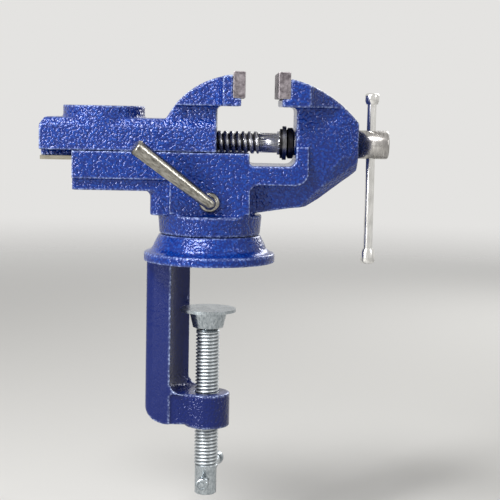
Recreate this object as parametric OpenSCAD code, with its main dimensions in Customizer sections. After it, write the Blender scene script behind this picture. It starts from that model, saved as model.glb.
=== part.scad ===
// Clamp-on table vise: a swivel base with a C-frame and clamping screw, a body with the
// fixed jaw, a sliding jaw with an anvil, and a lead screw turned by a sliding T-bar.
// The origin is where the swivel axis meets the table top: +Z up, +X towards the lead
// screw's head, -Y towards the lock lever.

/* [Jaws] */
// Width of both jaws and their plates
jaw_w = 60; // [50:1:72]
// Gap between the jaw plates as drawn
jaw_opening = 15.5; // [3:0.5:40]
// Thickness of a jaw plate
plate_t = 5.8; // [5:0.2:8]
// Height of a jaw plate
plate_h = 12.6; // [11:0.2:16]
// Height of a plate's lower edge above the way
seat_rise = 26.4; // [24:0.2:32]
// Thickness of the ledge that carries a plate
ledge_t = 3.9; // [3:0.1:6]
// How far a plate stands in front of its ledge
plate_proud = 1.9; // [1:0.1:3]
// How far the sliding jaw's seat stands in front of its beam
sliding_overhang = 7.6; // [4:0.2:9]
// How far the fixed jaw's seat stands in front of its wall
fixed_overhang = 3.7; // [2:0.1:5]
// Length of the sliding jaw's rounded back
sliding_back_l = 32; // [26:1:36]
// Radius of the sliding jaw's rounded back
sliding_back_r = 39.8; // [36:0.2:60]
// How far the sliding plate stands above its jaw
sliding_plate_rise = 1.6; // [0.5:0.1:3]
// Length of the fixed jaw's rounded back
fixed_back_l = 32.3; // [28:0.1:33]
// Radius of the fixed jaw's rounded back
fixed_back_r = 60.3; // [50:0.1:90]
// How far the fixed plate stands above its jaw
fixed_plate_rise = 3.1; // [0.5:0.1:4]

/* [Sliding beam] */
// Length of the beam behind its front wall
beam_l = 85; // [78:1:100]
// Height of the beam
beam_h = 15.7; // [14:0.1:18]
// Width of the beam's sloping shoulder
shoulder_w = 2.5; // [1.5:0.1:4]
// Height of the beam's sloping shoulder
shoulder_h = 4; // [2:0.1:5]
// Diameter of the anvil
anvil_d = 40; // [30:1:40]
// Height of the anvil above the beam
anvil_h = 5.8; // [3:0.1:9]
// Distance of the anvil's centre from the beam's tail
anvil_back = 29.4; // [22:0.2:38]
// Width of the tongue under the beam
tongue_w = 24; // [22:0.5:27]
// Depth of the tongue under the beam
tongue_h = 3; // [2.6:0.1:4]
// Width of the keeper plate under the tongue
keeper_w = 30; // [28:0.5:34]
// Thickness of the keeper plate
keeper_t = 1.9; // [1.8:0.1:2.4]

/* [Body] */
// Width of the body and of the beam
body_w = 40; // [38:1:46]
// Height from the turntable ring to the way
neck_h = 30.5; // [28:0.5:38]
// Length of the body behind the swivel axis
rear_l = 66.4; // [52:0.2:72]
// Depth of the rear arm
rear_h = 19; // [16:0.5:22]
// Depth of the rear arm's full-width band
band_h = 13.3; // [11:0.1:15]
// Depth of the recess below the full-width face
recess = 2.5; // [1.5:0.1:3.5]
// Distance of the pocket from the swivel axis
pocket_x = 18.9; // [16:0.1:22]
// Length of the pocket in front of the fixed jaw
pocket_l = 22.3; // [18:0.1:24]
// Depth of the pocket below the way
pocket_depth = 5.8; // [5.4:0.1:6.6]
// Length of the nose behind the fixed jaw's wall
nose_l = 30.4; // [30:0.1:36]
// Height of the lead screw's axis above the way
screw_rise = 5; // [4.5:0.1:6]

/* [Lead screw] */
// Outside diameter of the lead screw's thread
lead_d = 11; // [9:0.2:11.4]
// Length of the threaded part
lead_thread_l = 75.5; // [68:0.5:82]
// Diameter of the plain neck
lead_neck_d = 9.8; // [8:0.1:10]
// Diameter of the head
head_d = 14; // [12:0.2:18]
// Length of the head
head_l = 15.6; // [12:0.2:18]
// Diameter of the T-bar
bar_d = 4.5; // [3.5:0.1:5.5]
// Length of the T-bar over its knobs
bar_l = 84.3; // [70:0.1:110]
// Diameter of the T-bar's knobs
knob_d = 7; // [6.4:0.1:9]

/* [Swivel base] */
// Radius of the base flange
flange_r = 32.5; // [31:0.5:40]
// Height of the base under the turntable
base_h = 13.4; // [11:0.1:18]
// Radius of the turntable ring
ring_r = 25.7; // [24:0.1:28]
// Height of the turntable ring
ring_h = 9.8; // [7:0.1:13]
// Radius of the swivel post
post_r = 13; // [11:0.1:14]
// Height of the lock lever's axis above the ring
lock_rise = 6.8; // [6:0.1:8]
// Angle of the C-frame from the line of the beam
frame_yaw = 18; // [0:1:90]

/* [C-frame] */
// Outside radius of the leg, about the clamping screw
leg_r = 31; // [28:0.5:31]
// Thickness of the leg
leg_t = 11; // [9:0.5:13]
// Width of the leg
leg_w = 28; // [22:0.5:32]
// Height of the throat under the flange
throat_h = 66.4; // [50:0.2:90]
// Depth of the lower arm
arm_h = 15.6; // [12:0.2:20]
// Diameter of the boss
boss_d = 22.8; // [20:0.2:26]
// Depth of the boss
boss_h = 17.2; // [15:0.2:24]

/* [Clamping screw] */
// Outside diameter of the clamping screw's thread
clamp_d = 12; // [10:0.2:12.6]
// Length of the threaded part
clamp_thread_l = 69.4; // [60:0.2:80]
// Length of the plain end
clamp_end_l = 14.7; // [12:0.1:20]
// Gap between the flange and the pad as drawn
pad_drop = 24; // [2:0.5:50]
// Diameter of the pad
pad_d = 27.5; // [22:0.5:32]
// Thickness of the pad's rim
pad_t = 1.5; // [1.2:0.1:2.5]
// Diameter of the clamping bar
clamp_bar_d = 5; // [4:0.1:5.5]
// Length of the clamping bar over its knobs
clamp_bar_l = 56; // [44:0.5:80]

/* [Lock lever] */
// Diameter of the lever's screw
lock_d = 8; // [6:0.1:8.4]
// Diameter of the lever's collar
collar_d = 10; // [9.4:0.1:12]
// Length of the lever's rod
lever_l = 46; // [30:0.5:60]
// Diameter of the rod at the bend
lever_root_d = 6; // [5:0.1:7]
// Diameter of the rod at its tip
lever_tip_d = 7.8; // [5.5:0.1:9]
// Angle of the rod above the line of the beam
lever_angle = 38; // [0:1:60]
// Lean of the rod away from the body
lever_lean = 17; // [10:1:30]

/* [Hidden] */
$fn = 96;

paint = "#27408f";
zinc = "#b9b8b0";
steel = "#8f8c92";
dark_steel = "#2c2b2d";
bronze = "#8a6a3a";

// Gap between flat faces that slide or turn on each other
slide_gap = 0.3;
// Radial gap of a piece that turns or slides in its hole
run_gap = 0.08;
// Radial gap of a piece that is pressed or screwed in
seat_gap = 0.02;
// Overrun of a cut past the face that it opens
over = 1;
// Overlap that joins two shapes of one casting
lap = 0.2;

// Heights, from the table top upwards
ring_z = base_h + slide_gap;
ring_top = ring_z + ring_h;
lock_z = ring_top + lock_rise;
way_z = ring_top + neck_h;
screw_z = way_z + screw_rise;
seat_z = way_z + seat_rise;
ledge_z = seat_z - ledge_t;
plate_top = seat_z + plate_h;

// Places along the beam, from the swivel axis
wall_x = pocket_x + pocket_l;
nose_x = wall_x + nose_l;
fixed_seat_x = wall_x - fixed_overhang;
fixed_face_x = fixed_seat_x - plate_t;
sliding_face_x = fixed_face_x - jaw_opening;
sliding_seat_x = sliding_face_x - plate_t;
front_x = sliding_seat_x - sliding_overhang;
tail_x = front_x - beam_l;

// Jaw plates, their screws and the jaws' own shapes
plate_screw_d = 4;
plate_screw_head_d = 7.6;
plate_screw_head_h = 2.4;
plate_screw_l = 10.8;
plate_screw_y_share = 0.31;
plate_screw_z_share = 0.42;
hex_d = 2.9;
hex_depth = 1.4;
inner_r = 2;
jaw_back_w = 45;
jaw_rim_l = 4.9;
jaw_flare_r = 6;
jaw_block_l = 9.5;
jaw_tip_w = 33;
jaw_sweep_r = 30;
throat_fillet_r = 5;

// Sliding beam, nut and keeper
beam_z = way_z + slide_gap;
beam_top = beam_z + beam_h;
tail_cut_l = 2.6;
tail_cut_h = 3.6;
tongue_z = beam_z - tongue_h;
lip_h = tongue_h - 2 * slide_gap;
keeper_z = tongue_z - keeper_t;
keeper_set = 1.8;
keeper_clear = 0.9;
column_w = body_w - 2 * shoulder_w;
channel_wall = 7;
channel_w = lead_d + 1.6;
nut_w = 18;
nut_l = 15;
nut_wall = 2.8;
nut_rise = 7;
keeper_screw_d = 3;
keeper_screw_head_d = 5.4;
keeper_screw_head_h = 1.3;
keeper_screw_l = 8;
keeper_screw_y = 9.2;
keeper_screw_back = 8;
keeper_screw_front = 22;

// Body
pad_half = 19.5;
pad_lift = 0.8;
web_h = 15;
cheek_l = 6.3;
cheek_rise = 4;
web_r = 4;
cheek_r = 6.5;
pocket_r = 3.5;
neck_back = 29;
neck_r = 5;
neck_fillet_r = 3;
nose_end_w = 29;
nose_belly_w = 38.4;
nose_belly_rise = 2.5;
nose_waist_w = 33.4;
nose_foot_w = 18;
nose_foot_rise = 5;
nose_keel_w = 13;
nose_keel_top_w = 26;
nose_keel_h = 4;
nose_keel_flare = 40;
// Underside of the nose from its end back to the turntable: shares of the length back
// to the neck, and of the depth from the way to the ring
nose_under_shares = [[0, 0.246], [0.071, 0.351], [0.119, 0.407], [0.359, 0.721],
    [0.478, 0.849], [0.631, 0.875], [1, 0.975]];
keel_from = 4;
keel_to = 2;

// Lead screw and what it carries
tip_cut = 1;
journal_d = 11.6;
neck_l = 9;
journal_lead = 1.4;
clip_t = 1.1;
clip_d = 15;
clip_mouth = 6;
clip_groove_d = 9.8;
washer_d = 16.6;
washer_t = 1.9;
spring_d = 15.2;
spring_t = 1.1;
spring_cup = 0.9;
head_round = 1.2;
bar_x_share = 0.45;
bar_rise = 25.3;
knob_wall = 1.2;
knob_round = 1.4;
knob_neck_h = 1.6;
knob_top_h = 5.5;
knob_bottom_h = 7.5;

// Base and C-frame
rim_h = 4.6;
rim_r = 1;
flare_r = 27.6;
flare_z = 8.4;
flare_cut_r = 4.6;
turn_r = 25;
ring_foot_r = 24.9;
post_cut = 1;
groove_d = 1.6;
groove_clear = 0.5;
leg_round_r = 8;
heel_r = 14;
throat_r = 5;
arm_end_w = 18;

// Clamping screw, its pad and its bar
ball_r = 5;
ball_gap = 0.06;
pad_roof = 1.4;
hub_top_r = 9.5;
hub_r = 7.6;
hub_drop = 3;
clamp_neck_d = 7.4;
clamp_neck_l = 1.1;
clamp_end_d = 11;
clamp_hole_up = 7.4;
clamp_bar_yaw = 7.6;
clamp_bar_front = 13.5;
clamp_knob_h = 5;

// Lock lever
collar_h = 2.2;
elbow_out = 4;
lever_cut = 0.8;

// Heights under the table
boss_z = -throat_h - boss_h;
arm_z = -throat_h - arm_h;
ball_z = -pad_drop - pad_roof - ball_gap - ball_r;
hub_z = ball_z - hub_drop;
thread_top = hub_z - clamp_neck_l;
thread_foot = thread_top - clamp_thread_l;
clamp_foot = thread_foot - clamp_end_l;
clamp_bar_z = clamp_foot + clamp_hole_up;

// Along the lead screw: what stacks up against the fixed jaw's wall
spring_x = wall_x - slide_gap;
spring_l = spring_t + spring_cup;
washer_x = spring_x - 2 * spring_l - washer_t;
clip_x = washer_x - clip_t;
journal_x = clip_x - journal_lead;
thread_x = journal_x - neck_l;
head_x = nose_x + slide_gap;
bar_x = head_x + bar_x_share * head_l;
bar_top = screw_z + bar_rise;
bar_foot = bar_top - bar_l;

// Swivel post
groove_h = lock_d + 2 * groove_clear;
post_end = lock_z + groove_h / 2 + 2 * post_cut;

// Centre of the circle of radius r through a and b, on the left of the way from a to b
function arc_centre(a, b, r) =
    let (d = b - a, half = norm(d) / 2)
    (a + b) / 2 + [-d.y, d.x] / norm(d) * sqrt(max(r * r - half * half, 0));

// The points of one side of a section, with their mirror images
function mirrored(points) =
    concat(points, [for (i = [len(points) - 1 : -1 : 0]) [-points[i].x, points[i].y]]);

// Slab of width w across the beam, from an outline of X and Z
module side(w) {
    rotate([90, 0, 0]) linear_extrude(w, center = true) children();
}

// Bar along the beam from x0 to x1, from an outline of Y and Z
module along(x0, x1) {
    translate([x0, 0, 0]) rotate([90, 0, 90]) linear_extrude(x1 - x0) children();
}

// Plate from z0 to z1, from an outline of X and Y
module plan(z0, z1) {
    translate([0, 0, z0]) linear_extrude(z1 - z0) children();
}

// A shape and its mirror image on the other side of the beam
module both() {
    children();
    mirror([0, 1, 0]) children();
}

// Rod along the beam from x0 to x1
module rod_x(x0, x1, d) {
    translate([x0, 0, 0]) rotate([0, 90, 0]) cylinder(h = x1 - x0, d = d);
}

// Fills the inside corner at the origin of the open quadrant +X +Y
module fillet(r) {
    difference() {
        translate([-lap, -lap]) square(r + lap);
        translate([r, r]) circle(r);
    }
}

// Cuts the outside corner at the origin of a shape that fills the quadrant +X +Y
module round_off(r) {
    difference() {
        translate([-over, -over]) square(r + over);
        translate([r, r]) circle(r);
    }
}

// Outline of the base and its swivel post, turned about the swivel axis
module base_outline() {
    flare = arc_centre([flare_r, flare_z], [flange_r - rim_r / 2, rim_h], flare_cut_r);
    difference() {
        polygon([[0, 0], [flange_r, 0], [flange_r, rim_h], [flange_r - rim_r / 2, rim_h],
            [flare_r, flare_z], [turn_r, base_h], [post_r, base_h], [post_r, post_end - post_cut],
            [post_r - post_cut, post_end], [0, post_end]]);
        translate(flare) circle(flare_cut_r);
        translate([flange_r, rim_h]) rotate(180) round_off(rim_r);
        translate([post_r, lock_z])
            polygon([[over, -groove_h / 2 - over], [-groove_d, groove_d - groove_h / 2],
                [-groove_d, groove_h / 2 - groove_d], [over, groove_h / 2 + over]]);
    }
}

// Section of the leg: hollowed towards the screw, rounded outside
module leg_plan() {
    intersection() {
        difference() {
            circle(leg_r);
            circle(leg_r - leg_t);
        }
        difference() {
            translate([-leg_r, -leg_w / 2]) square([leg_r, leg_w]);
            translate([-leg_r, -leg_w / 2]) round_off(leg_round_r);
            translate([-leg_r, leg_w / 2]) mirror([0, 1]) round_off(leg_round_r);
        }
    }
}

// Lower arm from above, tapering from the leg to the boss
module arm_plan() {
    root = leg_t - leg_r;
    leg_plan();
    polygon([[root - leg_t / 4, -leg_w / 2], [root, -leg_w / 2], [0, -arm_end_w / 2],
        [0, arm_end_w / 2], [root, leg_w / 2], [root - leg_t / 4, leg_w / 2]]);
}

// Side of the frame's heel, from the arm's underside up to z
module heel_side(z) {
    difference() {
        translate([-leg_r, arm_z]) square([leg_r, z - arm_z]);
        translate([-leg_r, arm_z]) round_off(heel_r);
    }
}

module base_frame() {
    color(paint)
    rotate(-frame_yaw)
    difference() {
        union() {
            rotate_extrude() base_outline();
            intersection() {
                plan(arm_z, over) leg_plan();
                side(leg_w + over) heel_side(over);
            }
            intersection() {
                plan(arm_z, -throat_h) arm_plan();
                side(leg_w + over) heel_side(-throat_h);
            }
            intersection() {
                rotate_extrude() translate([leg_r - leg_t, -throat_h]) mirror([1, 0]) fillet(throat_r);
                plan(-throat_h - over, throat_r - throat_h)
                    translate([-leg_r, -leg_w / 2]) square([leg_r, leg_w]);
            }
            translate([0, 0, boss_z]) cylinder(h = boss_h, d = boss_d);
        }
        translate([0, 0, boss_z - over]) cylinder(h = boss_h + 2 * over, d = clamp_d + 2 * run_gap);
    }
}

module clamp_pad() {
    color(zinc)
    rotate_extrude()
    difference() {
        polygon([[0, -pad_drop], [pad_d / 2, -pad_drop], [pad_d / 2, -pad_drop - pad_t],
            [hub_top_r, -pad_drop - pad_t], [hub_r, hub_z], [0, hub_z]]);
        translate([0, ball_z]) circle(ball_r + ball_gap);
    }
}

module clamp_screw() {
    color(zinc)
    difference() {
        union() {
            translate([0, 0, ball_z]) sphere(ball_r);
            rotate_extrude()
                polygon([[0, ball_z], [clamp_neck_d / 2, ball_z], [clamp_neck_d / 2, thread_top],
                    [clamp_d / 2 - tip_cut, thread_top], [clamp_d / 2, thread_top - tip_cut],
                    [clamp_d / 2, thread_foot], [clamp_end_d / 2, thread_foot],
                    [clamp_end_d / 2, clamp_foot + tip_cut / 2],
                    [clamp_end_d / 2 - tip_cut / 2, clamp_foot], [0, clamp_foot]]);
        }
        at_clamp_bar() translate([0, 0, -clamp_d])
            cylinder(h = 2 * clamp_d, d = clamp_bar_d + 2 * run_gap);
    }
}

// Puts +Z along the clamping bar, with the origin on the clamping screw's axis
module at_clamp_bar() {
    translate([0, 0, clamp_bar_z]) rotate([0, 0, -clamp_bar_yaw]) rotate([-90, 0, 0]) children();
}

module clamp_bar() {
    color(zinc)
    at_clamp_bar() translate([0, 0, knob_wall - clamp_bar_front])
        cylinder(h = clamp_bar_l - 2 * knob_wall, d = clamp_bar_d);
}

// Knob with its mouth at the origin and its closed end at +Z, over a bar of diameter d
module bar_knob(h, d) {
    rim = d / 2 + seat_gap;
    rotate_extrude()
    difference() {
        polygon([[rim, 0], [rim, h - knob_wall], [0, h - knob_wall], [0, h], [knob_d / 2, h],
            [knob_d / 2, knob_neck_h], [(rim + knob_d / 2) / 2, 0]]);
        translate([knob_d / 2, h]) rotate(180) round_off(knob_round);
    }
}

module clamp_knob_front() {
    color(zinc)
    at_clamp_bar() translate([0, 0, clamp_knob_h - clamp_bar_front]) mirror([0, 0, 1])
        bar_knob(clamp_knob_h, clamp_bar_d);
}

module clamp_knob_back() {
    color(zinc)
    at_clamp_bar() translate([0, 0, clamp_bar_l - clamp_bar_front - clamp_knob_h])
        bar_knob(clamp_knob_h, clamp_bar_d);
}

// Pocket in front of the fixed jaw, seen from the side
module pocket_side() {
    difference() {
        translate([pocket_x, way_z - pocket_depth])
            square([pocket_l, pocket_depth + cheek_rise + over]);
        translate([pocket_x, way_z - pocket_depth]) fillet(inner_r);
        translate([wall_x, way_z - pocket_depth]) mirror([1, 0]) fillet(pocket_r);
    }
}

// Full-width face of the body, seen from the side
module face_side() {
    foot = ring_top + pad_lift;
    difference() {
        union() {
            translate([-rear_l, way_z - band_h]) square([rear_l + pad_half, band_h]);
            translate([-pad_half, foot]) square([2 * pad_half, way_z - foot]);
            translate([0, way_z - web_h]) square([wall_x + cheek_l, web_h + cheek_rise]);
            translate([pad_half, way_z - web_h]) mirror([0, 1]) fillet(web_r);
        }
        translate([wall_x + cheek_l, way_z - web_h]) mirror([1, 0]) round_off(cheek_r);
        translate([-over, way_z]) square([wall_x + over, cheek_rise + over]);
        pocket_side();
    }
}

// Points along the underside of the nose, from its end back to the neck
function nose_under() =
    [for (s = nose_under_shares)
        [nose_x - s[0] * (nose_x - pad_half), way_z - s[1] * (way_z - ring_top)]];

// Nose and the arm under the pocket, seen from the side
module nose_side() {
    intersection() {
        difference() {
            polygon(concat([[0, ring_top], [0, way_z - pocket_depth], [wall_x, way_z - pocket_depth],
                [wall_x, ledge_z + lap], [nose_x, ledge_z + lap]], nose_under()));
            pocket_side();
        }
        jaw_back_circle();
    }
}

// Section of the nose across the beam
module nose_section() {
    polygon(mirrored([[nose_foot_w / 2, ring_top], [nose_foot_w / 2, ring_top + nose_foot_rise],
        [nose_waist_w / 2, way_z - pocket_depth], [nose_belly_w / 2, screw_z + nose_belly_rise],
        [column_w / 2, ledge_z - throat_fillet_r], [column_w / 2, ledge_z + lap]]));
}

// Room left by the chamfers along the nose's sloping underside
module nose_keel() {
    a = nose_under()[keel_from];
    b = nose_under()[keel_to];
    translate([a.x, 0, a.y]) rotate([0, -atan2(b.y - a.y, b.x - a.x), 0])
        along(-nose_x, nose_x)
            polygon(mirrored([[nose_keel_w / 2, -over], [nose_keel_w / 2, 0],
                [nose_keel_top_w / 2, nose_keel_h], [nose_keel_flare, nose_keel_flare],
                [nose_keel_flare, 2 * nose_x]]));
}

// Nose from above, narrowing in an arc to its end face
module nose_plan() {
    root = wall_x + cheek_l;
    drop = (body_w - nose_end_w) / 2;
    r = ((nose_x - root) * (nose_x - root) + drop * drop) / (2 * drop);
    translate([0, -body_w / 2]) square([root, body_w]);
    intersection() {
        translate([root - lap, -body_w / 2]) square([nose_x - root + lap, body_w]);
        translate([root, body_w / 2 - r]) circle(r);
        translate([root, r - body_w / 2]) circle(r);
    }
}

// Circle of the fixed jaw's back, seen from the side
module jaw_back_circle() {
    top = [fixed_seat_x, plate_top - fixed_plate_rise];
    tip = [fixed_seat_x + fixed_back_l, ledge_z - throat_fillet_r];
    translate(arc_centre(tip, top, fixed_back_r)) circle(fixed_back_r, $fn = 2 * $fn);
}

// Fixed jaw above its underside, seen from the side
module fixed_jaw_side() {
    front = fixed_face_x + plate_proud;
    intersection() {
        union() {
            translate([fixed_seat_x, ledge_z]) square([nose_x - fixed_seat_x, plate_top - ledge_z]);
            translate([front, ledge_z]) square([nose_x - front, ledge_t]);
        }
        union() {
            jaw_back_circle();
            translate([front, ledge_z]) square([wall_x - front, ledge_t]);
        }
        translate([front, ledge_z]) square([nose_x - front, plate_top - fixed_plate_rise - ledge_z]);
    }
}

// Fixed jaw from above: a full-width block that sweeps in towards the nose
module fixed_jaw_plan() {
    block = [fixed_seat_x + jaw_block_l, jaw_w / 2];
    tip = [nose_x, jaw_tip_w / 2];
    difference() {
        polygon([[fixed_face_x, jaw_w / 2], block, tip, [tip.x, -tip.y], [block.x, -block.y],
            [fixed_face_x, -jaw_w / 2]]);
        both() translate(arc_centre(block, tip, jaw_sweep_r)) circle(jaw_sweep_r);
    }
}

module vise_body() {
    core_w = body_w - 2 * recess;
    color(paint)
    difference() {
        union() {
            side(body_w) face_side();
            side(core_w) translate([-rear_l, way_z - rear_h]) square([rear_l, rear_h - band_h + lap]);
            plan(ring_top - lap, way_z - band_h) difference() {
                translate([-neck_back, -core_w / 2]) square([neck_back + pad_half, core_w]);
                translate([-neck_back, -core_w / 2]) round_off(neck_r);
                translate([-neck_back, core_w / 2]) mirror([0, 1]) round_off(neck_r);
            }
            side(core_w - 2 * neck_r) translate([-neck_back, way_z - rear_h]) rotate(180)
                fillet(neck_fillet_r);
            translate([0, 0, ring_z]) cylinder(h = ring_h, r1 = ring_foot_r, r2 = ring_r);
            intersection() {
                side(body_w) nose_side();
                along(0, nose_x) nose_section();
                plan(ring_top - lap, plate_top) nose_plan();
                nose_keel();
            }
            intersection() {
                side(jaw_w) fixed_jaw_side();
                plan(ledge_z, plate_top) fixed_jaw_plan();
            }
            side(column_w) translate([wall_x, ledge_z]) rotate(180) fillet(inner_r);
            intersection() {
                along(wall_x, nose_x) both() translate([column_w / 2, ledge_z]) mirror([0, 1])
                    fillet(throat_fillet_r);
                side(jaw_w) jaw_back_circle();
                plan(way_z, plate_top) fixed_jaw_plan();
            }
        }
        translate([0, 0, ring_z - over])
            cylinder(h = post_end + slide_gap - ring_z + over, r = post_r + run_gap);
        translate([-rear_l - over, 0, 0]) slot_cut(rear_l + pocket_x + over);
        translate([0, 0, screw_z]) rod_x(wall_x - over, nose_x + over, journal_d + 2 * run_gap);
        translate([0, -body_w / 2 - over, lock_z]) rotate([-90, 0, 0])
            cylinder(h = body_w / 2 + over, d = lock_d + 2 * run_gap);
        for (i = [0, 1]) plate_screw_place(fixed_seat_x, i) translate([0, 0, -over])
            cylinder(h = plate_screw_l - plate_t + 2 * over, d = plate_screw_d + 2 * seat_gap);
    }
}

// Slot for the tongue and the keeper, from the origin to length l
module slot_cut(l) {
    tongue_slot = tongue_w + 2 * slide_gap;
    keeper_slot = keeper_w + 2 * slide_gap;
    foot = keeper_z - keeper_clear;
    translate([0, -tongue_slot / 2, foot]) cube([l, tongue_slot, way_z + over - foot]);
    translate([0, -keeper_slot / 2, foot]) cube([l, keeper_slot, way_z - lip_h - foot]);
}

// Puts +Z along a plate's screw, out of the seat at x and towards +X, with i = 0 in front
module plate_screw_place(x, i) {
    y = (i * 2 - 1) * plate_screw_y_share * jaw_w;
    translate([x, y, seat_z + plate_screw_z_share * plate_h]) rotate([0, 90, 0]) children();
}

// Jaw plate with its back face in the plane X = 0 and its jaw face towards +X
module jaw_plate() {
    difference() {
        translate([0, -jaw_w / 2, seat_z]) cube([plate_t, jaw_w, plate_h]);
        for (i = [0, 1]) plate_screw_place(0, i) {
            translate([0, 0, -over]) cylinder(h = plate_t + 2 * over, d = plate_screw_d + 2 * seat_gap);
            translate([0, 0, plate_t - plate_screw_head_h])
                cylinder(h = plate_screw_head_h + over, d = plate_screw_head_d + 2 * seat_gap);
        }
    }
}

// Socket screw of a jaw plate, seated in a plate whose back face is the plane X = 0
module jaw_screw(i) {
    plate_screw_place(0, i) difference() {
        union() {
            translate([0, 0, plate_t - plate_screw_l]) cylinder(h = plate_screw_l, d = plate_screw_d);
            translate([0, 0, plate_t - plate_screw_head_h])
                cylinder(h = plate_screw_head_h - slide_gap, d = plate_screw_head_d);
        }
        translate([0, 0, plate_t - slide_gap - hex_depth])
            cylinder(h = hex_depth + over, d = hex_d, $fn = 6);
    }
}

module fixed_jaw_plate() {
    color(steel) translate([fixed_seat_x, 0, 0]) mirror([1, 0, 0]) jaw_plate();
}

module fixed_jaw_screw(i) {
    color(dark_steel) translate([fixed_seat_x, 0, 0]) mirror([1, 0, 0]) jaw_screw(i);
}

module sliding_jaw_plate() {
    color(steel) translate([sliding_seat_x, 0, 0]) jaw_plate();
}

module sliding_jaw_screw(i) {
    color(dark_steel) translate([sliding_seat_x, 0, 0]) jaw_screw(i);
}

// Circle of the sliding jaw's back, seen from the side
module sliding_back_circle() {
    top = [sliding_seat_x, plate_top - sliding_plate_rise];
    root = [sliding_seat_x - sliding_back_l, beam_top];
    translate(arc_centre(top, root, sliding_back_r)) circle(sliding_back_r, $fn = 2 * $fn);
}

// Sliding jaw above its underside, seen from the side
module sliding_head_side() {
    back = sliding_seat_x - sliding_back_l;
    front = sliding_face_x - plate_proud;
    intersection() {
        sliding_back_circle();
        translate([back, ledge_z])
            square([sliding_seat_x - back, plate_top - sliding_plate_rise - ledge_z]);
    }
    translate([sliding_seat_x - lap, ledge_z]) square([front - sliding_seat_x + lap, ledge_t]);
}

// Sliding jaw from above: narrow at the back, flaring to full width behind the plate
module sliding_head_plan() {
    back = sliding_seat_x - sliding_back_l;
    rim = sliding_seat_x - jaw_rim_l;
    translate([back, -jaw_back_w / 2]) square([rim - back + lap, jaw_back_w]);
    translate([rim, -jaw_w / 2]) square([sliding_face_x - rim, jaw_w]);
    both() translate([rim, jaw_back_w / 2]) mirror([1, 0]) fillet(jaw_flare_r);
}

// Section of the beam with its sloping shoulders
module beam_section() {
    polygon(mirrored([[body_w / 2, beam_z], [body_w / 2, beam_top - shoulder_h],
        [column_w / 2, beam_top]]));
}

module sliding_jaw() {
    back = sliding_seat_x - sliding_back_l;
    channel_x = tail_x + channel_wall;
    nut_x = front_x - nut_wall - nut_l;
    color(paint)
    difference() {
        union() {
            along(tail_x, front_x) beam_section();
            translate([tail_x, -tongue_w / 2, tongue_z]) cube([beam_l, tongue_w, tongue_h + lap]);
            translate([tail_x + anvil_back, 0, beam_top - shoulder_h])
                cylinder(h = shoulder_h + anvil_h, d = anvil_d);
            side(column_w) intersection() {
                sliding_back_circle();
                translate([back, beam_top - lap]) square([front_x - back, ledge_z - beam_top + 2 * lap]);
            }
            intersection() {
                side(jaw_w) sliding_head_side();
                plan(ledge_z, plate_top) sliding_head_plan();
            }
            side(column_w) translate([front_x, ledge_z]) mirror([0, 1]) fillet(inner_r);
            intersection() {
                along(back, front_x) both() translate([column_w / 2, ledge_z]) mirror([0, 1])
                    fillet(inner_r);
                side(jaw_back_w) sliding_back_circle();
            }
        }
        side(body_w + over) translate([tail_x, beam_top])
            polygon([[-over, over], [-over, -tail_cut_h], [0, -tail_cut_h], [tail_cut_l, 0],
                [tail_cut_l, over]]);
        translate([channel_x, -channel_w / 2, tongue_z - over])
            cube([nut_x - channel_x + lap, channel_w, screw_z - tongue_z + over]);
        translate([0, 0, screw_z]) {
            rod_x(channel_x, nut_x + lap, channel_w);
            rod_x(nut_x, front_x + over, channel_w);
        }
        translate([nut_x, -nut_w / 2 - seat_gap, tongue_z - over])
            cube([nut_l, nut_w + 2 * seat_gap, screw_z + nut_rise + seat_gap - tongue_z + over]);
        for (i = [0 : 3]) keeper_screw_place(i)
            cylinder(h = keeper_screw_l + over, d = keeper_screw_d + 2 * seat_gap);
        for (i = [0, 1]) plate_screw_place(sliding_seat_x, i) mirror([0, 0, 1])
            translate([0, 0, -over]) cylinder(h = plate_screw_l - plate_t + 2 * over,
                d = plate_screw_d + 2 * seat_gap);
    }
}

// Puts the origin on the underside of the keeper at its screw i, with +Z into the tongue
module keeper_screw_place(i) {
    x = i < 2 ? tail_x + keeper_screw_back : front_x - keeper_screw_front;
    y = (i % 2 * 2 - 1) * keeper_screw_y;
    translate([x, y, keeper_z]) children();
}

module keeper_plate() {
    color(steel)
    difference() {
        translate([tail_x, -keeper_w / 2, keeper_z]) cube([beam_l - keeper_set, keeper_w, keeper_t]);
        for (i = [0 : 3]) keeper_screw_place(i) {
            translate([0, 0, -over]) cylinder(h = keeper_t + 2 * over, d = keeper_screw_d + 2 * seat_gap);
            translate([0, 0, -over])
                cylinder(h = keeper_screw_head_h + over, d = keeper_screw_head_d + 2 * seat_gap);
        }
    }
}

module keeper_screw(i) {
    color(dark_steel)
    keeper_screw_place(i) difference() {
        union() {
            cylinder(h = keeper_screw_l, d = keeper_screw_d);
            cylinder(h = keeper_screw_head_h, d = keeper_screw_head_d);
        }
        translate([0, 0, -over]) cylinder(h = over + keeper_screw_head_h / 2, d = hex_d, $fn = 6);
    }
}

module lead_nut() {
    color(bronze)
    difference() {
        translate([front_x - nut_wall - nut_l + seat_gap, -nut_w / 2, tongue_z])
            cube([nut_l - 2 * seat_gap, nut_w, screw_z + nut_rise - tongue_z]);
        translate([0, 0, screw_z])
            rod_x(front_x - nut_wall - nut_l - over, front_x, lead_d + 2 * run_gap);
    }
}

// Turns an outline of radius and X about the lead screw's axis
module turn_lead() {
    translate([0, 0, screw_z]) rotate([0, 90, 0]) rotate_extrude() children();
}

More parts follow.
